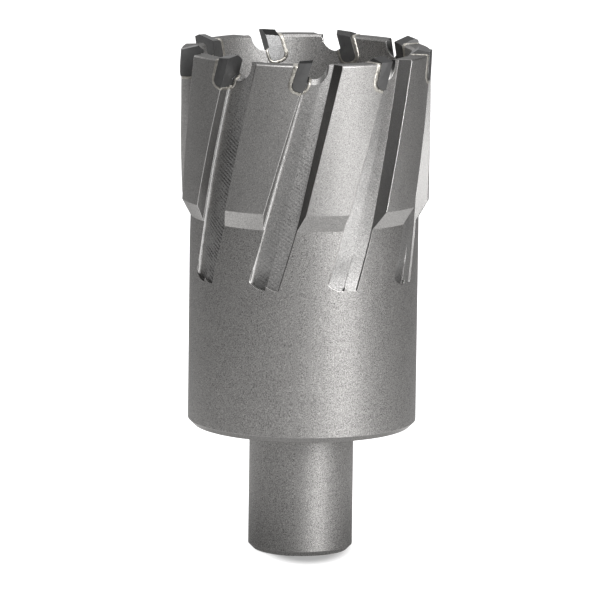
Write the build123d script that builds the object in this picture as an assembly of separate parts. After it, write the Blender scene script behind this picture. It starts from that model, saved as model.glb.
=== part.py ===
from build123d import *
from build123d.topology import SkipClean
from math import asin, atan, atan2, cos, degrees, radians, sin, tan
import os

# A carbide tipped annular cutter on a plain round shank, standing on its shank with the teeth up.
# The origin is the centre of the shank's end face, and +Z runs up the axis to the teeth.
# Lengths are in millimetres. Angles about the axis are counted from the front, -Y, towards +X.
# A tooth is drawn on the +X axis, with +Y the way it cuts, and is then turned to its place.

# What the cutter makes: a hole of this size and depth, with a core left in the middle
cutting_diameter = 46.0
cutting_depth = 55.0
core_headroom = 2.4           # free depth above the core

# Shank, with a through bore for the pilot pin and two clamp flats at right angles
shank_diameter = 19.05
shank_length = 23.2
shank_chamfer = 0.9
pilot_pin_diameter = 7.98
pilot_clearance = 0.02        # radial, a sliding fit
pilot_chamfer = 0.5
flat_depth = 1.6
flat_length = 14.0
flat_setback = 5.0            # from the shank's end face
flat_directions = (135.0, 225.0)

# Body, step and cutting head, one turned piece of steel
web_thickness = 11.6          # between the shank's shoulder and the hollow for the core
body_inset = 2.15             # the body's wall lies this far inside the cutting circle
body_chamfer = 1.0
step_length = 3.15
head_length = 27.15
head_inset_low = 0.36         # the steel's inset from the cutting circle at the step
head_inset_high = 0.26        # and at the rim
rim_chamfer = 0.22
ring_thickness = 3.65         # from the cutting circle to the bore
bore_chamfer = 0.38
bore_corner_radius = 1.5

# Teeth and flutes: each flute is two helical passes side by side, with slightly different leads
tooth_count = 9
first_tooth_angle = 2.2
rake_lead = 485.0             # height for one full turn of the rake wall
heel_lead = 613.0             # and of the heel wall
heel_lead_low = 440.0         # below the step, where the heel wall turns faster
heel_angle = 11.8             # from the rake corner to the heel wall's foot, at the rim
heel_slope = 28.0             # the heel wall opens this much from radial
rake_lean = 5.0               # the rake face's inner side is ahead of its outer corner
flute_length = 41.3           # from the rim to the passes' lower ends
wall_under_flute = 1.1        # steel left between the rake pass and the bore
heel_pass_rise = 0.04         # the heel pass is this much shallower
run_out_dip = 0.2             # the rake pass cuts deeper at its lower end
pass_width_share = 0.075      # a pass's width, as a share of the cutting diameter
root_radius = 0.45
run_out_radius = 3.8
flute_sections = 11           # cross sections that a pass is drawn through

# Gullet: a round bottomed notch through the ring beside each tip
gullet_radius = 2.6
gullet_depth = 2.8            # at the ring's bore
gullet_slope = 40.0           # falling outwards
gullet_lead = 0.73            # its middle is this far ahead of the rake corner

# Carbide tips: round bottomed inserts, brazed into pockets in the ring. The rake face is ground
# down where it lies open to the flute and the gullet, and keeps its thickness in the ring's wall.
tip_thickness = 2.82
tip_ground_away = 0.62        # the rake corner lies this far behind the insert's own side
tip_inside_bore = 0.19        # the tips stand this far inside the ring's bore
tip_length = 5.1              # below the rim
tip_corner_radius = 1.05
tip_over_wall = 0.4           # the tip stands this far ahead of the flute's wall
tip_relief = 5.0
tip_margin = 0.9              # width of the round land beside the cutting edge
tip_side_relief = 9.0         # behind that land
braze_ahead = 0.35
braze_behind = 0.7
braze_below = 0.55
# Edge profiles, ground in turn: rise at the outer corner, inset and rise of the peak,
# rise at the inner corner. Rises are above the rim, the inset is from the cutting circle.
edge_profiles = (
    (0.62, 0.90, 1.02, 0.05),
    (0.30, 2.90, 0.95, 0.20),
    (0.60, 2.40, 0.98, 0.05),
)

beyond = 2.0                  # how far a cutting shape runs past what it cuts
far = 2 * cutting_diameter    # the size of a cutting shape that only needs to be large

shank_radius = shank_diameter / 2
pilot_radius = pilot_pin_diameter / 2 + pilot_clearance
cutting_radius = cutting_diameter / 2
body_radius = cutting_radius - body_inset
head_radius_low = cutting_radius - head_inset_low
head_radius_high = cutting_radius - head_inset_high
pass_width = pass_width_share * cutting_diameter
bore_radius = cutting_radius - ring_thickness
tip_inner_radius = bore_radius - tip_inside_bore
clear_radius = cutting_radius + beyond
rake_floor = bore_radius + wall_under_flute
heel_floor = rake_floor + heel_pass_rise
bore_floor_z = shank_length + web_thickness
rim_z = bore_floor_z + core_headroom + cutting_depth
head_z = rim_z - head_length
step_z = head_z - step_length
flute_end_z = rim_z - flute_length
tooth_pitch = 360.0 / tooth_count
helix_slant = degrees(atan(radians(360.0 / rake_lead) * cutting_radius))


def turned_blank():
    """The steel as it leaves the lathe: shank, body, step, head, core hollow and pilot bore."""
    outside = Polyline(
        (pilot_radius + pilot_chamfer, 0),
        (shank_radius - shank_chamfer, 0),
        (shank_radius, shank_chamfer),
        (shank_radius, flat_setback),
        (shank_radius, flat_setback + flat_length),
        (shank_radius, shank_length),
        (body_radius - body_chamfer, shank_length),
        (body_radius, shank_length + body_chamfer),
        (body_radius, step_z),
        (head_radius_low, head_z),
        (head_radius_high, rim_z - rim_chamfer),
        (head_radius_high - rim_chamfer, rim_z),
        (bore_radius + bore_chamfer, rim_z),
        (bore_radius, rim_z - bore_chamfer),
        (bore_radius, bore_floor_z + bore_corner_radius),
    )
    corner = RadiusArc(
        (bore_radius, bore_floor_z + bore_corner_radius),
        (bore_radius - bore_corner_radius, bore_floor_z),
        bore_corner_radius,
    )
    inside = Polyline(
        (bore_radius - bore_corner_radius, bore_floor_z),
        (pilot_radius + pilot_chamfer, bore_floor_z),
        (pilot_radius, bore_floor_z - pilot_chamfer),
        (pilot_radius, pilot_chamfer),
        (pilot_radius + pilot_chamfer, 0),
    )
    profile = Plane.XZ * make_face(outside.edges() + corner.edges() + inside.edges())
    return revolve(profile, Axis.Z, clean=False)


def clamp_flat(direction):
    """The block that mills one clamp flat into the shank."""
    block = Box(
        flat_depth + beyond,
        shank_diameter,
        flat_length,
        align=(Align.MIN, Align.CENTER, Align.MIN),
    )
    return Rot(0, 0, direction - 90) * Pos(shank_radius - flat_depth, 0, flat_setback) * block


def rake_wall_angle(z):
    """Where the rake wall meets the head's surface, seen from the rake corner at the rim."""
    behind_tip = degrees(tip_over_wall / cutting_radius)
    return (z - rim_z) * 360.0 / rake_lead - behind_tip


def heel_foot_angle(z):
    """Where the heel wall meets the flute's floor."""
    turned_above = (max(z, step_z) - rim_z) * 360.0 / heel_lead
    turned_below = (min(z, step_z) - step_z) * 360.0 / heel_lead_low
    return heel_angle + turned_above + turned_below


def milled_pass(section_at, right_angle):
    """A helical pass through its sections, ended below by the milling cutter's round."""
    low = flute_end_z
    spacing = (rim_z + beyond - low) / (flute_sections - 1)
    heights = [low + spacing * i for i in range(flute_sections)]
    helix = loft([Pos(0, 0, z) * section_at(z) for z in heights])
    standing = (Align.CENTER, Align.CENTER, Align.MIN)
    end_mill = Rot(0, 90, 0) * Cylinder(run_out_radius, clear_radius, align=standing)
    round_end = Rot(0, 0, right_angle) * end_mill
    above = Cylinder(far, far, align=standing)
    return helix & (Pos(0, 0, low + run_out_radius) * (round_end + above))


def rake_pass():
    """The pass along the rake wall, with a leaning wall and a rounded root."""
    half = pass_width / 2

    def section(z):
        dip = run_out_dip * max(0.0, 1 - (z - flute_end_z) / (2 * run_out_radius))
        floor = rake_floor - dip
        root = floor + root_radius
        lean = tan(asin(half / floor) + radians(rake_lean))
        outer_corner = half + (head_radius_high - root) * lean
        turn = rake_wall_angle(z) + degrees(atan2(outer_corner, head_radius_high))
        wall_top = (clear_radius, -half - (clear_radius - root) * lean)
        wall_foot = (root, -half)
        floor_start = (floor, root_radius - half)
        open_sides = Polyline(wall_foot, wall_top, (clear_radius, half), (floor, half), floor_start)
        face = make_face(open_sides + RadiusArc(floor_start, wall_foot, root_radius))
        return Rot(0, 0, turn) * face

    right_angle = rake_wall_angle(flute_end_z) + degrees(2 * asin(half / rake_floor))
    return milled_pass(section, right_angle)


def heel_pass():
    """The pass along the heel wall, which opens outwards."""
    half = pass_width / 2
    foot_angle = degrees(asin(half / heel_floor))
    opening = (clear_radius - heel_floor) * tan(radians(foot_angle + heel_slope))

    def section(z):
        corners = Polyline(
            (clear_radius, -half),
            (heel_floor, -half),
            (heel_floor, half),
            (clear_radius, half + opening),
            close=True,
        )
        return Rot(0, 0, heel_foot_angle(z) - foot_angle) * make_face(corners)

    return milled_pass(section, heel_foot_angle(flute_end_z))


def tip_plane(x):
    """A plane square to the radius at x, with its own x across the tip and y up along it."""
    slant = radians(helix_slant)
    return Plane(origin=(x, 0, rim_z), x_dir=(0, cos(slant), -sin(slant)), z_dir=(1, 0, 0))


def ahead_of_rake():
    """All that lies on the open side of the rake face."""
    block = Box(far, far, far, align=(Align.MIN, Align.CENTER, Align.CENTER))
    rake_corner = Pos(cutting_radius, 0, 0)
    return rake_corner * Rot(0, 0, -rake_lean) * rake_corner.inverse() * (tip_plane(0) * block)


def insert_block(ahead, behind, below):
    """The unground insert, from inside the bore to past the cutting circle, grown by a seam."""
    front = tip_ground_away + ahead
    back = tip_ground_away - tip_thickness - behind
    low = -tip_length - below
    radius = tip_corner_radius + below
    top = Polyline((front, low + radius), (front, beyond), (back, beyond), (back, low + radius))
    bottom = Line((back + radius, low), (front - radius, low))
    back_corner = RadiusArc((back, low + radius), (back + radius, low), -radius)
    front_corner = RadiusArc((front - radius, low), (front, low + radius), -radius)
    profile = make_face(top + back_corner + bottom + front_corner)
    start = tip_inner_radius - beyond
    return extrude(tip_plane(start) * profile, clear_radius - start)


def gullet():
    """The notch that opens the ring beside the tip and lets the chips out into the flute."""
    centre_z = rim_z - gullet_depth + gullet_radius / cos(radians(gullet_slope))
    barrel = Rot(0, 90 + gullet_slope, 0) * Cylinder(gullet_radius, 8 * gullet_radius)
    return Pos(bore_radius, gullet_lead, centre_z) * barrel & ahead_of_rake()


def side_relief():
    """What is ground off the tip's outer side, behind the land at its cutting edge."""
    block = Box(far, far, far, align=(Align.MAX, Align.CENTER, Align.MIN))
    return tip_plane(cutting_radius) * Pos(-tip_margin, 0, 0) * Rot(0, -tip_side_relief, 0) * block


def carbide_tip(edge_profile, open_side):
    """One tip, ground to its edge profile, the cutting circle, the core's circle and reliefs."""
    outer_rise, peak_inset, peak_rise, inner_rise = edge_profile
    peak_x = cutting_radius - peak_inset
    outer_slope = (peak_rise - outer_rise) / peak_inset
    inner_slope = (peak_rise - inner_rise) / (peak_x - tip_inner_radius)
    edge = Polyline(
        (0, -far),
        (clear_radius, -far),
        (clear_radius, peak_rise - outer_slope * (clear_radius - peak_x)),
        (peak_x, peak_rise),
        (0, peak_rise - inner_slope * peak_x),
        close=True,
    )
    below_edge = Rot(tip_relief, 0, 0) * extrude(Plane.XZ * make_face(edge), far, both=True)
    ring = Cylinder(cutting_radius, far) - Cylinder(tip_inner_radius, far)
    blank = insert_block(0, 0, 0) & (Pos(0, 0, rim_z) * (below_edge & ring))
    return blank - open_side - side_relief()


def placed(solid, index):
    return Rot(0, 0, first_tooth_angle - 90 + index * tooth_pitch) * solid


def save(solid, name):
    solid.label = name
    export_step(solid, f"parts/{name}.step")


def main():
    os.makedirs("parts", exist_ok=True)
    teeth = range(tooth_count)
    flute = rake_pass() + heel_pass() + gullet()
    insert = insert_block(0, 0, 0)
    pocket = insert_block(braze_ahead, braze_behind, braze_below)
    with SkipClean():  # the shank's wall keeps its full rings above and below the flats
        milled = turned_blank() - [clamp_flat(direction) for direction in flat_directions]
        milled = milled - [placed(flute, i) for i in teeth]
        save(milled - [placed(pocket, i) for i in teeth], "cutter_body")
    open_side = flute & ahead_of_rake()
    for i in teeth:
        edge_profile = edge_profiles[i % len(edge_profiles)]
        save(placed(carbide_tip(edge_profile, open_side), i), f"carbide_tip_{i + 1}")
        save((placed(pocket, i) & milled) - placed(insert, i), f"braze_seam_{i + 1}")


main()
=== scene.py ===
import bmesh
import bpy
from math import atan2, cos, degrees, hypot, pi, radians, sin
from mathutils import Matrix, Vector, noise


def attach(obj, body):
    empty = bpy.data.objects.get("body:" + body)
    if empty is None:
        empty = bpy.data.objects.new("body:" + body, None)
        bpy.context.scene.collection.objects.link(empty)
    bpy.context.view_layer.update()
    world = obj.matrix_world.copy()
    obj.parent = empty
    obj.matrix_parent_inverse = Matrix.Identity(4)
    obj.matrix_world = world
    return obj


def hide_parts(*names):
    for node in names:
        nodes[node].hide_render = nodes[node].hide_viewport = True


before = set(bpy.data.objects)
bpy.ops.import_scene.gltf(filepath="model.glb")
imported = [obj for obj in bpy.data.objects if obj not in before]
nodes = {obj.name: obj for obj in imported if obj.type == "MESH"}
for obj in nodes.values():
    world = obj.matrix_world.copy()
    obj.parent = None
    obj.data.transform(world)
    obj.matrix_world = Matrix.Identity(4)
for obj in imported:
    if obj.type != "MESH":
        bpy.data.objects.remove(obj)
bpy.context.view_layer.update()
print("frame loaded:", len(nodes), "nodes")


# Shader maths: a wrapped socket takes the usual operators

class Wire:
    def __init__(self, tree, socket):
        self.tree, self.socket = tree, socket

    def add(self, kind, settings=None, inputs=None, out=0):
        node = self.tree.nodes.new("ShaderNode" + kind)
        for name, value in (settings or {}).items():
            if name == "stops":
                fillRamp(node.color_ramp, value)
            else:
                setattr(node, name, value)
        for name, value in (inputs or {}).items():
            if isinstance(value, Wire):
                self.tree.links.new(value.socket, node.inputs[name])
            else:
                node.inputs[name].default_value = value
        return Wire(self.tree, node.outputs[out]) if node.outputs else None

    def calc(self, operation, *values, clamp=False):
        inputs = dict(enumerate(values))
        return self.add("Math", {"operation": operation, "use_clamp": clamp}, inputs)

    def __add__(self, other):
        return self.calc("ADD", self, other)

    def __radd__(self, other):
        return self.calc("ADD", other, self)

    def __sub__(self, other):
        return self.calc("SUBTRACT", self, other)

    def __rsub__(self, other):
        return self.calc("SUBTRACT", other, self)

    def __mul__(self, other):
        return self.calc("MULTIPLY", self, other)

    def __rmul__(self, other):
        return self.calc("MULTIPLY", other, self)

    def __truediv__(self, other):
        return self.calc("DIVIDE", self, other)

    def __rtruediv__(self, other):
        return self.calc("DIVIDE", other, self)

    def output(self, name):
        return Wire(self.tree, self.socket.node.outputs[name])

    def between(self, low, high, toLow=0.0, toHigh=1.0):
        inputs = {"Value": self, "From Min": low, "From Max": high, "To Min": toLow, "To Max": toHigh}
        return self.add("MapRange", {"interpolation_type": "SMOOTHSTEP"}, inputs)

    def mixed(self, first, second):
        return self.add("Mix", {"data_type": "RGBA"}, {0: self, 6: first, 7: second}, out=2)

    def vector(self, operation, *values, out=0):
        inputs = dict(enumerate((self,) + values))
        return self.add("VectorMath", {"operation": operation}, inputs, out=out)

    def noise(self, size, detail=2.0, roughness=0.5):
        inputs = {"Vector": self, "Scale": 1 / size, "Detail": detail, "Roughness": roughness}
        return self.add("TexNoise", {}, inputs)


def fillRamp(ramp, stops):
    while len(ramp.elements) < len(stops):
        ramp.elements.new(0.5)
    for element, (position, colour) in zip(ramp.elements, stops):
        element.position, element.color = position, colour


def grey(level, warmth=0.0):
    return (level * (1 + warmth), level, level * (1 - warmth), 1.0)


def newMaterial(name):
    material = bpy.data.materials.new(name)
    material.use_nodes = True
    material.node_tree.nodes.clear()
    return material, Wire(material.node_tree, None)


def bumped(start, height, under=None):
    inputs = {"Height": height, "Distance": 1.0, "Strength": 1.0}
    if under is not None:
        inputs["Normal"] = under
    return start.add("Bump", {}, inputs)


def finishMaterial(start, colour, roughness, metallic, normal, grazing):
    inputs = {"Base Color": colour, "Roughness": roughness, "Metallic": metallic, "Normal": normal}
    inputs["Specular Tint"] = grey(grazing)  # how much of the glare at a grazing view is left
    surface = start.add("BsdfPrincipled", {}, inputs)
    start.add("OutputMaterial", {}, {"Surface": surface})


def newObject(name, data):
    thing = bpy.data.objects.new(name, data)
    bpy.context.scene.collection.objects.link(thing)
    return thing


# Finishes of the steel, one dictionary each. Sizes are in metres.

blasted = {
    "colour": 0.38, "warmth": 0.022, "mottle": 1.7, "roughness": 0.5,
    "grain": 0.00013, "grainDepth": 0.000004, "patches": 0.004,
    "edge": 0.00014, "paintedEdgeTone": 0.9, "edgeRoughness": 0.4,
}
# lighter than the body above it: painted sheen on the downward chamfer under the body
lowerChamferSheen = {
    "colour": 0.72, "warmth": 0.022, "mottle": 0.8, "roughness": 0.45,
    "grain": 0.00013, "grainDepth": 0.000003, "patches": 0.004,
    "edge": 0.00014, "paintedEdgeTone": 0.9, "edgeRoughness": 0.4,
}
land = {
    "colour": 0.405, "warmth": 0.020, "mottle": 1.1, "roughness": 0.53,
    "grain": 0.00013, "grainDepth": 0.000002, "patches": 0.006,
    "edge": 0.00022, "paintedEdgeTone": 0.95, "edgeRoughness": 0.4,
}
cone = {
    "colour": 0.48, "warmth": 0.020, "mottle": 0.9, "roughness": 0.45,
    "grain": 0.00015, "grainDepth": 0.000002, "patches": 0.006,
    "edge": 0.00012, "paintedEdgeTone": 0.8, "edgeRoughness": 0.35,
}
# darker than the body: painted shade on the top faces of the rim
rim = {
    "colour": 0.28, "warmth": 0.018, "mottle": 1.2, "roughness": 0.42, "grazing": 0.42,
    "grain": 0.00018, "grainDepth": 0.000004, "patches": 0.005,
    "edge": 0.00010, "paintedEdgeTone": 0.6, "edgeRoughness": 0.35,
}
innerChamfer = {
    "colour": 0.42, "warmth": 0.018, "mottle": 1.2, "roughness": 0.50, "grazing": 0.6,
    "grain": 0.00018, "grainDepth": 0.000004, "patches": 0.005,
    "edge": 0.00010, "paintedEdgeTone": 0.7, "edgeRoughness": 0.35,
}
# lighter than the rim: a painted highlight, the bright line of the rim's outer chamfer
chamfer = {
    "colour": 0.55, "warmth": 0.018, "mottle": 0.8, "roughness": 0.40, "grazing": 0.6,
    "grain": 0.00018, "grainDepth": 0.000004, "patches": 0.005,
    "edge": 0.00010, "paintedEdgeTone": 0.9, "edgeRoughness": 0.35,
}
rakeWall = {
    "colour": 0.38, "warmth": 0.016, "mottle": 0.6, "roughness": 0.42,
    "grain": 0.00015, "grainDepth": 0.000002, "patches": 0.006,
    "edge": 0.00012, "paintedEdgeTone": 1.0, "edgeRoughness": 0.3,
}
# painted nearly white: a painted highlight, a bright line along the root of each flute where the rake
# wall meets the floor
root = {
    "colour": 0.93, "warmth": 0.016, "mottle": 0.4, "roughness": 0.50,
    "grain": 0.00015, "grainDepth": 0.000002, "patches": 0.006,
    "edge": 0.00003, "paintedEdgeTone": 0.7, "edgeRoughness": 0.5,
}
# dark: painted shade on the heel walls, which lie in shade inside the flutes
shadedHeelWall = {
    "colour": 0.20, "warmth": 0.016, "mottle": 0.4, "roughness": 0.485,
    "grain": 0.00015, "grainDepth": 0.000002, "patches": 0.006,
    "edge": 0.00010, "paintedEdgeTone": 0.5, "edgeRoughness": 0.4,
}
rakePass = {
    "colour": 0.44, "warmth": 0.016, "mottle": 1.1, "roughness": 0.43,
    "grain": 0.00015, "grainDepth": 0.000003, "patches": 0.004,
    "edge": 0.00004, "paintedEdgeTone": 0.35, "edgeRoughness": 0.4,
    "markDepth": 0.000009, "markShade": 0.25, "runOutTiltAndShade": 0.14, "lean": 0.07,
}
# a little lighter than the rake pass: painted light that sets the two passes apart
heelPass = {
    "colour": 0.48, "warmth": 0.016, "mottle": 1.2, "roughness": 0.43,
    "grain": 0.00015, "grainDepth": 0.000003, "patches": 0.004,
    "edge": 0.00004, "paintedEdgeTone": 0.35, "edgeRoughness": 0.4,
    "markDepth": 0.000018, "markShade": 0.30, "runOutTiltAndShade": 0.03, "lean": 0.0,
}
gullet = {
    "colour": 0.52, "warmth": 0.016, "mottle": 1.0, "roughness": 0.42,
    "grain": 0.00018, "grainDepth": 0.000004, "patches": 0.005,
    "edge": 0.00010, "paintedEdgeTone": 0.8, "edgeRoughness": 0.35,
}
turned = {
    "colour": 0.50, "warmth": 0.016, "mottle": 1.3, "roughness": 0.5,
    "grain": 0.00015, "grainDepth": 0.000004, "patches": 0.003,
    "edge": 0.00014, "paintedEdgeTone": 0.95, "edgeRoughness": 0.35,
}
everyFinish = {  # what they all share
    "darkest": 0.1, "lightest": 1.9,  # times the finish's own colour
    "patchShade": 0.08, "patchRoughness": 0.04,
    "edgeWindow": (0.995, 0.90),  # cosine between a face and its softened normal
    "edgeSamples": 8, "grazing": 0.85,
}
marks = {  # of the mills, on the floors of the flutes
    "pitch": 0.00077, "slope": 0.72, "waver": 0.9, "waverSize": 0.004,
    "unevenSize": 0.003, "unevenRoughness": 0.6, "uneven": (0.35, 0.6, 0.35, 1.0),
    "upwards": (0.087, 0.074, 0.2, 1.0),  # two heights, and the strength at each
    "aside": (-1.5, -1.2, 1.0, 0.5),  # two angles in radians, and the strength at each
    "fromRake": (1.5, 6.5),  # degrees from the rake wall
    "shadedFluteLeft": (-2.95, -2.65), "shadedFluteRight": (-2.0, -2.3),  # the flute between these angles: its marks show most, and it gets a painted shade
    "otherFlutes": 0.4, "flutePaintedShade": 0.08,  # strength of the marks in the others, and how much the painted shade darkens that one flute
}


# The steel body: heights and radii of its cuts, and how their faces lie

body = {
    "hollowFloor": 0.0348, "hollowRadius": 0.01935, "bodyRadius": 0.02085, "rootTop": 0.02096,
    "fluteEnd": 0.0509, "stepFoot": 0.0618, "gulletFoot": 0.0840, "rim": 0.0922,
    "chamferHeight": 0.0006, "hollowFlare": 0.0006, "margin": 0.0002,
    "belowFlutes": 0.001, "belowStep": 0.005,
    "runOutTop": 0.0045, "runOutFoot": 0.0005,  # above the flutes' end
    "firstTooth": 2.2, "passMiddle": 5.55, "smoothUnder": 24,  # degrees
    "passTurn": 665, "rakeTurn": 742,  # degrees for each metre up
    "teeth": 9, "weld": 0.000002,
}
tilts = {  # shares of a face's normal that point up or outwards
    "rimUp": 0.9, "chamferUp": 0.5, "gulletUp": 0.45, "heelUp": 0.35, "slopeDown": -0.3,
    "flatDown": -0.9, "coneOut": 0.5, "hollowOut": -0.3, "passOut": 0.95, "landOut": 0.9, "rootOut": 0.1,
}


def roundPlace(at):
    x = at.add("SeparateXYZ", {}, {"Vector": at})
    y, z = x.output("Y"), x.output("Z")
    return x.calc("SQRT", x * x + y * y), x.calc("ARCTAN2", y, x), z


def millMarks(at, radius, angle, z):
    along = (z + angle * radius * marks["slope"]) / marks["pitch"]
    waver = at.noise(marks["waverSize"], 1) * marks["waver"]
    strength = at.noise(marks["unevenSize"], 2, marks["unevenRoughness"]).between(*marks["uneven"])
    strength = strength * z.between(*marks["upwards"])
    # the one flute with the strongest marks and a painted shade
    dimmed = angle.between(*marks["shadedFluteRight"]) * angle.between(*marks["shadedFluteLeft"])
    strength = strength * (dimmed * (1 - marks["otherFlutes"]) + marks["otherFlutes"])
    strength = strength * angle.between(*marks["aside"])
    fromTooth = (angle + pi / 2) * (180 / pi) - body["firstTooth"]
    fromRake = fromTooth - (z - body["rim"]) * body["rakeTurn"]
    across = at.calc("FLOORED_MODULO", fromRake, 360 / body["teeth"])
    strength = strength * across.between(*marks["fromRake"])
    return at.calc("SINE", (along + waver) * (2 * pi)) * strength, strength, dimmed


def steelMaterial(name, finish):
    material, start = newMaterial(name)
    at = start.add("TexCoord", out=3)
    fine = at.noise(finish["grain"], 1)
    patches = at.noise(finish["patches"], 2)
    shade = (fine - 0.5) * finish["mottle"] + (patches - 0.5) * everyFinish["patchShade"] + 0.5
    height = fine * finish["grainDepth"]
    softened = start.add("Bevel", {"samples": everyFinish["edgeSamples"]}, {"Radius": finish["edge"]})
    facing = start.add("NewGeometry", out=1)
    edge = softened.vector("DOT_PRODUCT", facing, out=1).between(*everyFinish["edgeWindow"])
    if "runOutTiltAndShade" in finish:
        radius, angle, z = roundPlace(at)
        lines, strength, dimmed = millMarks(at, radius, angle, z)
        # that flute's floor is darkened: painted shade
        shade = shade + (lines - strength) * finish["markShade"] * 0.5 - dimmed * marks["flutePaintedShade"]
        height = height + lines * (finish["markDepth"] * 0.5)
        # near the flutes' end the floors turn darker and their normals tilt up: a painted shade where
        # the run-out rises
        top, foot = body["fluteEnd"] + body["runOutTop"], body["fluteEnd"] + body["runOutFoot"]
        riseAndShade = z.between(top, foot, 0.0, finish["runOutTiltAndShade"])
        shade = shade - riseAndShade
        upwards = start.add("CombineXYZ", {}, {"Z": riseAndShade})
        aside = at.vector("CROSS_PRODUCT", (0, 0, 1)).vector("NORMALIZE")
        aside = aside.vector("MULTIPLY", (finish["lean"],) * 3)
        softened = softened.vector("ADD", upwards).vector("ADD", aside).vector("NORMALIZE")
    dark = grey(finish["colour"] * everyFinish["darkest"], finish["warmth"])
    light = grey(finish["colour"] * everyFinish["lightest"], finish["warmth"])
    # along edges the colour turns to the painted edge tone: a painted highlight where it is lighter than
    # the finish, a painted shade in the creases of the flute floors and the root band where it is darker
    colour = edge.mixed(shade.mixed(dark, light), grey(finish["paintedEdgeTone"], finish["warmth"]))
    plainRoughness = (patches - 0.5) * everyFinish["patchRoughness"] + finish["roughness"]
    roughness = plainRoughness + edge * (finish["edgeRoughness"] - finish["roughness"])
    grazing = finish.get("grazing", everyFinish["grazing"])
    finishMaterial(start, colour, roughness, 1.0, bumped(start, height, softened), grazing)
    return material


def passOfFlute(centre, normal):
    faces = degrees(atan2(normal.x, -normal.y)) - body["firstTooth"]
    middle = body["passMiddle"] + (centre.z - body["rim"]) * body["passTurn"]
    pitch = 360 / body["teeth"]
    return "heel pass" if (faces - middle) % pitch < pitch / 2 else "rake pass"


def kindOfCut(centre, normal):
    radius = hypot(centre.x, centre.y)
    outward = (normal.x * centre.x + normal.y * centre.y) / radius
    sideways = (normal.y * centre.x - normal.x * centre.y) / radius
    inHollow = radius < body["hollowRadius"] + body["hollowFlare"]
    if centre.z > body["rim"] - body["chamferHeight"] and normal.z > tilts["chamferUp"]:
        if normal.z > tilts["rimUp"]:
            return "rim"
        return "chamfer" if outward > 0 else "inner chamfer"
    if outward < tilts["hollowOut"] and inHollow and centre.z > body["hollowFloor"] - body["margin"]:
        return "turned"
    if centre.z > body["stepFoot"] and normal.z < tilts["slopeDown"] and outward > tilts["coneOut"]:
        return "cone"
    if centre.z < body["fluteEnd"] - body["belowFlutes"]:
        slopes = tilts["flatDown"] < normal.z < tilts["slopeDown"]
        return "lower chamfer" if slopes and radius > body["hollowRadius"] else "blasted"
    if radius < body["bodyRadius"] - body["margin"] and outward > tilts["passOut"]:
        return passOfFlute(centre, normal)
    if outward > tilts["landOut"] and radius > body["bodyRadius"] - body["margin"]:
        return "land" if centre.z > body["stepFoot"] else "blasted"
    if centre.z > body["gulletFoot"] and normal.z > tilts["gulletUp"]:
        return "gullet"
    if centre.z < body["stepFoot"] - body["belowStep"] and normal.z > tilts["heelUp"]:
        return "heel wall"
    if sideways > 0:
        # the foot of the rake wall takes the root finish, a painted highlight
        return "root" if radius < body["rootTop"] and outward > tilts["rootOut"] else "rake wall"
    return "heel wall"


def dressedBody():
    mesh = nodes["cutter_body"].data.copy()
    mesh.materials.clear()
    for finish in steel.values():
        mesh.materials.append(finish)
    form = bmesh.new()
    form.from_mesh(mesh)
    bmesh.ops.remove_doubles(form, verts=form.verts, dist=body["weld"])
    bmesh.ops.dissolve_degenerate(form, edges=form.edges, dist=body["weld"])
    form.normal_update()
    kinds = list(steel)
    for face in form.faces:
        face.smooth = True
        face.material_index = kinds.index(kindOfCut(face.calc_center_median(), face.normal))
    for edge in form.edges:
        edge.smooth = edge.calc_face_angle(pi) < radians(body["smoothUnder"])
    form.to_mesh(mesh)
    form.free()
    return newObject("steel_body", mesh)


finishes = {
    "blasted": blasted, "lower chamfer": lowerChamferSheen, "land": land, "cone": cone, "rim": rim,
    "chamfer": chamfer, "turned": turned, "inner chamfer": innerChamfer, "gullet": gullet,
    "rake wall": rakeWall, "root": root, "heel wall": shadedHeelWall,
    "rake pass": rakePass, "heel pass": heelPass,
}
steel = {name: steelMaterial(name + " steel", finish) for name, finish in finishes.items()}
print("steel finishes made:", len(steel))
steelBody = dressedBody()
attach(steelBody, "root")
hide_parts("cutter_body")
print("steel body dressed:", len(steelBody.data.polygons), "faces")


# Carbide and braze

carbide = {
    "colour": 0.155, "uneven": 0.2, "patches": 0.0012, "metallic": 0.75, "roughness": 0.42,
    "grain": 0.00012, "grainDepth": 0.000002, "grainRoughness": 0.08, "edge": 0.00008,
    "edgeSamples": 8, "grazing": 0.8,
    "topPaintedShade": 0.045, "topRoughness": 0.30, "topWindow": (0.5, 0.8),
    "highlighted": 6,  # the tip whose inner face is pale: a painted highlight
    "highlightColour": 0.42, "highlightUneven": 0.45, "highlightGrain": (0.3, 0.7), "highlightRoughness": 0.45,
    "innerWindow": (-0.6, -0.9),
}
braze = {
    "colour": (0.74, 0.715, 0.66, 1), "dimmed": (0.45, 0.43, 0.39, 1), "dullWindow": (0.3, 0.7),
    "roughness": 0.5, "unevenRoughness": 0.25, "grazing": 1.0,
    "grain": 0.0006, "grainDetail": 3, "grainRoughness": 0.6, "grainDepth": 0.00008,
    "swell": 0.00012, "proud": 0.00005, "lumps": 0.00004, "lumpSize": 0.0009,
    "weld": 0.000002, "flatUnder": 2,  # degrees
    "longestEdge": 0.0004, "rounds": 3,
}


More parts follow.
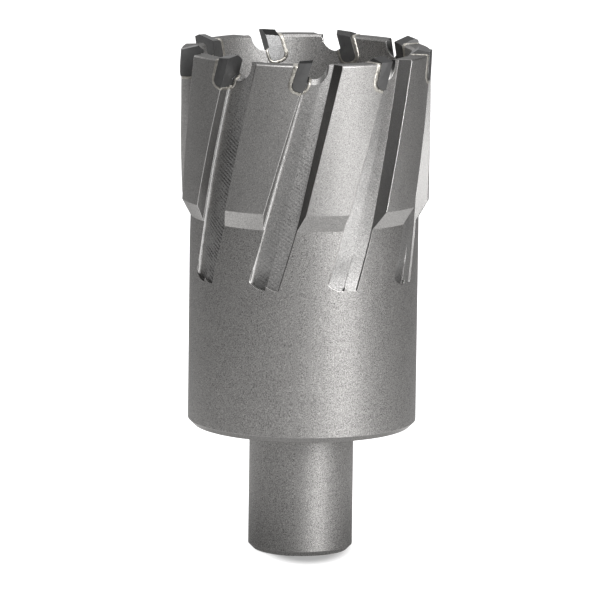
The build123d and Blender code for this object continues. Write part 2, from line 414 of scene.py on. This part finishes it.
def carbideMaterial(highlighted):
    material, start = newMaterial("frosted carbide" if highlighted else "ground carbide")
    at = start.add("TexCoord", out=3)
    facing = start.add("NewGeometry", out=1)
    fine = at.noise(carbide["grain"], 2)
    shade = at.noise(carbide["patches"], 2)
    dark = grey(carbide["colour"] * (1 - carbide["uneven"]))
    light = grey(carbide["colour"] * (1 + carbide["uneven"]))
    colour = shade.mixed(dark, light)
    roughness = (fine - 0.5) * carbide["grainRoughness"] + carbide["roughness"]
    if highlighted:
        # the inner face of this tip is painted pale: a painted highlight for the key lamp's reflection
        flat = at.vector("MULTIPLY", (1, 1, 0)).vector("NORMALIZE")
        inner = flat.vector("DOT_PRODUCT", facing, out=1).between(*carbide["innerWindow"])
        dark = grey(carbide["highlightColour"] * (1 - carbide["highlightUneven"]))
        light = grey(carbide["highlightColour"] * (1 + carbide["highlightUneven"]))
        colour = inner.mixed(colour, fine.between(*carbide["highlightGrain"]).mixed(dark, light))
        roughness = roughness + inner * (carbide["highlightRoughness"] - carbide["roughness"])
    # faces that look up are painted dark: painted shade on the tops of the tips
    top = facing.vector("DOT_PRODUCT", (0, 0, 1), out=1).between(*carbide["topWindow"])
    colour = top.mixed(colour, grey(carbide["topPaintedShade"]))
    roughness = roughness + top * (carbide["topRoughness"] - carbide["roughness"])
    softened = start.add("Bevel", {"samples": carbide["edgeSamples"]}, {"Radius": carbide["edge"]})
    normal = bumped(start, fine * carbide["grainDepth"], softened)
    finishMaterial(start, colour, roughness, carbide["metallic"], normal, carbide["grazing"])
    return material


def brazeMaterial():
    material, start = newMaterial("silver braze")
    at = start.add("TexCoord", out=3)
    lumps = at.noise(braze["grain"], braze["grainDetail"], braze["grainRoughness"])
    normal = bumped(start, lumps * braze["grainDepth"])
    roughness = (lumps - 0.5) * braze["unevenRoughness"] + braze["roughness"]
    colour = lumps.between(*braze["dullWindow"]).mixed(braze["dimmed"], braze["colour"])
    finishMaterial(start, colour, roughness, 1.0, normal, braze["grazing"])
    return material


def swollenSeam(name, finish):
    mesh = nodes[name].data.copy()
    form = bmesh.new()
    form.from_mesh(mesh)
    bmesh.ops.remove_doubles(form, verts=form.verts, dist=braze["weld"])
    flatUnder = radians(braze["flatUnder"])
    bmesh.ops.dissolve_limit(form, verts=form.verts, edges=form.edges, angle_limit=flatUnder)
    bmesh.ops.triangulate(form, faces=form.faces)
    for turn in range(braze["rounds"]):
        longEdges = [edge for edge in form.edges if edge.calc_length() > braze["longestEdge"]]
        bmesh.ops.subdivide_edges(form, edges=longEdges, cuts=1)
        bmesh.ops.triangulate(form, faces=form.faces)
    sameCorners = {}  # thin slivers can leave two faces on the same three corners
    for face in form.faces:
        sameCorners.setdefault(frozenset(face.verts), []).append(face)
    flaps = [face for faces in sameCorners.values() if len(faces) > 1 for face in faces]
    bmesh.ops.delete(form, geom=flaps, context="FACES")
    form.normal_update()
    for vert in form.verts:
        reach = hypot(vert.co.x, vert.co.y) + braze["proud"]
        vert.co += vert.normal * braze["swell"]
        lump = noise.noise(vert.co / braze["lumpSize"]) * braze["lumps"]
        now = hypot(vert.co.x, vert.co.y)
        if now > reach:
            vert.co.xy *= reach / now
        vert.co.xy *= 1 + lump / now
    for face in form.faces:
        face.smooth = True
    form.to_mesh(mesh)
    form.free()
    mesh.materials.clear()
    mesh.materials.append(finish)
    piece = newObject(name.replace("seam", "bead"), mesh)
    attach(piece, "root")
    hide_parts(name)


plainCarbide = carbideMaterial(False)
highlightedCarbide = carbideMaterial(True)
brazeFinish = brazeMaterial()
for name, node in list(nodes.items()):
    if name.startswith("carbide"):
        highlighted = name.endswith(str(carbide["highlighted"]))
        node.data.materials.clear()
        node.data.materials.append(highlightedCarbide if highlighted else plainCarbide)
    elif name.startswith("braze"):
        swollenSeam(name, brazeFinish)
print("carbide and braze finished")


# Camera

view = {
    "distance": 1.42961835,  # camera to the middle of the cutter
    "height": 0.046,  # the height it is aimed at
    "lookDown": 9.72345395,  # degrees
    "roll": 0.76645343,
    "pixelsPerMetre": 5476.26681,  # at that distance
    "frame": 600,  # pixels
    "centre": (303.196, 299.672),
    "sensor": 36,
}


def addCamera():
    down, roll = radians(view["lookDown"]), radians(view["roll"])
    ahead = Vector((0, cos(down), -sin(down)))
    right = Vector((1, 0, 0))
    up = right.cross(ahead)
    tiltedRight = cos(roll) * right + sin(roll) * up
    tiltedUp = cos(roll) * up - sin(roll) * right
    spot = Vector((0, 0, view["height"])) - view["distance"] * ahead
    data = bpy.data.cameras.new("camera")
    data.sensor_width = view["sensor"]
    data.lens = view["pixelsPerMetre"] * view["distance"] / view["frame"] * view["sensor"]
    data.shift_x = (view["frame"] / 2 - view["centre"][0]) / view["frame"]
    data.shift_y = (view["centre"][1] - view["frame"] / 2) / view["frame"]
    camera = newObject("camera", data)
    turn = Matrix((tiltedRight, tiltedUp, -ahead)).transposed().to_4x4()
    camera.matrix_world = Matrix.Translation(spot) @ turn
    bpy.context.scene.camera = camera


# Studio

studio = {
    "key": {"at": (0.964, -1.149, 0.7), "size": (0.3, 1.2), "power": 29.5},
    "top": {"at": (0.0, -0.15, 1.5), "size": (0.9, 0.9), "power": 5.5},
    "backdrop": (-0.3, 0.95, 0.0), "backdropWindow": (0.6, 0.95),  # where its middle is, and its edge
    "behind": 1.0, "ahead": 0.25, "aheadWindow": (-0.3, -0.8), "above": 0.5, "aboveWindow": (0.5, 1.0),
    "floorSize": 6.0, "floor": 0.62,
    "lift": 1.0, "liftReach": (0.0108, 0.0212),  # from the painted shadow round the foot to white paper
    "liftNarrow": 4.2, "liftAside": 0.0012,
    "glowReach": 0.5, "glowRight": (0.05, 0.5, 1.0, 0.6),
    "glowLeft": (-0.10, -0.28, 1.0, 0.75), "glowBack": (0.10, 0.35, 1.0, 0.8),
}
floorGlow = [  # what metal sees of the floor, by the share of glowReach from the cutter's axis: a painted glow, dark at the foot as painted shadow and white in a ring round it
    (0.0, grey(0.3)), (0.08, grey(0.3)), (0.11, grey(1.0)),
    (0.20, grey(1.0)), (0.26, grey(0.6)), (1.0, grey(0.5)),
]


def addLamp(name, lamp):
    data = bpy.data.lights.new(name, "AREA")
    data.shape = "RECTANGLE"
    data.size, data.size_y = lamp["size"]
    data.energy = lamp["power"]
    spot = Vector(lamp["at"])
    aim = (spot - Vector((0, 0, view["height"]))).to_track_quat("Z", "Y")
    newObject(name, data).matrix_world = Matrix.Translation(spot) @ aim.to_matrix().to_4x4()


def addWorld():
    world = bpy.data.worlds.new("studio")
    world.use_nodes = True
    world.node_tree.nodes.clear()
    start = Wire(world.node_tree, None)
    cameraRay = start.add("LightPath")
    way = start.add("TexCoord")
    x = start.add("SeparateXYZ", {}, {"Vector": way})
    y, z = x.output("Y"), x.output("Z")
    facing = way.vector("DOT_PRODUCT", studio["backdrop"], out=1)
    backdrop = facing.between(*studio["backdropWindow"])
    ahead = y.between(*studio["aheadWindow"]) * studio["ahead"]
    above = z.between(*studio["aboveWindow"]) * studio["above"]
    level = backdrop * studio["behind"] + ahead + above
    mirrored = cameraRay.output("Is Glossy Ray") + cameraRay.output("Is Transmission Ray")
    shown = cameraRay.calc("ADD", cameraRay, mirrored * backdrop, clamp=True)
    plain = start.add("Background", {}, {"Color": grey(1.0), "Strength": level})
    white = start.add("Background", {}, {"Color": grey(1.0), "Strength": 1.0})
    both = start.add("MixShader", {}, {0: shown, 1: plain, 2: white})
    start.add("OutputWorld", {}, {"Surface": both})
    bpy.context.scene.world = world


def floorMaterial():
    material, start = newMaterial("pale floor")
    cameraRay = start.add("LightPath")
    x = start.add("SeparateXYZ", {}, {"Vector": start.add("TexCoord", out=3)})
    y = x.output("Y")
    plain = start.add("BsdfDiffuse", {}, {"Color": grey(studio["floor"])})
    # the lift is left out in an oval round the foot, narrow across and shifted aside: a painted shadow
    # over the real shadow in the diffuse
    aside = x - studio["liftAside"]
    reach = x.calc("SQRT", aside * aside * studio["liftNarrow"] + y * y)
    paper = reach.between(*studio["liftReach"]).mixed(grey(0.0), grey(studio["lift"]))
    lift = start.add("Emission", {}, {"Color": paper, "Strength": 1.0})
    seen = start.add("AddShader", {}, {0: plain, 1: lift})
    # for reflections the floor glows with painted light, dimmer to the right and to the back
    away = x.calc("SQRT", x * x + y * y) / studio["glowReach"]
    glow = start.add("ValToRGB", {"stops": floorGlow}, {0: away})
    level = x.between(*studio["glowRight"]) * x.between(*studio["glowLeft"])
    level = level * y.between(*studio["glowBack"])
    shine = start.add("Emission", {}, {"Color": glow.vector("MULTIPLY", level), "Strength": 1.0})
    mirrored = cameraRay.output("Is Glossy Ray") + cameraRay.output("Is Transmission Ray")
    bounced = start.add("MixShader", {}, {0: mirrored, 1: plain, 2: shine})
    both = start.add("MixShader", {}, {0: cameraRay, 1: bounced, 2: seen})
    start.add("OutputMaterial", {}, {"Surface": both})
    return material


def addFloor():
    form = bmesh.new()
    bmesh.ops.create_grid(form, x_segments=1, y_segments=1, size=studio["floorSize"] / 2)
    mesh = bpy.data.meshes.new("floor")
    form.to_mesh(mesh)
    form.free()
    mesh.materials.append(floorMaterial())
    floor = newObject("floor", mesh)


addCamera()
addWorld()
addFloor()
addLamp("key", studio["key"])
addLamp("top", studio["top"])
bpy.context.scene.view_settings.view_transform = "Standard"
print("studio set")
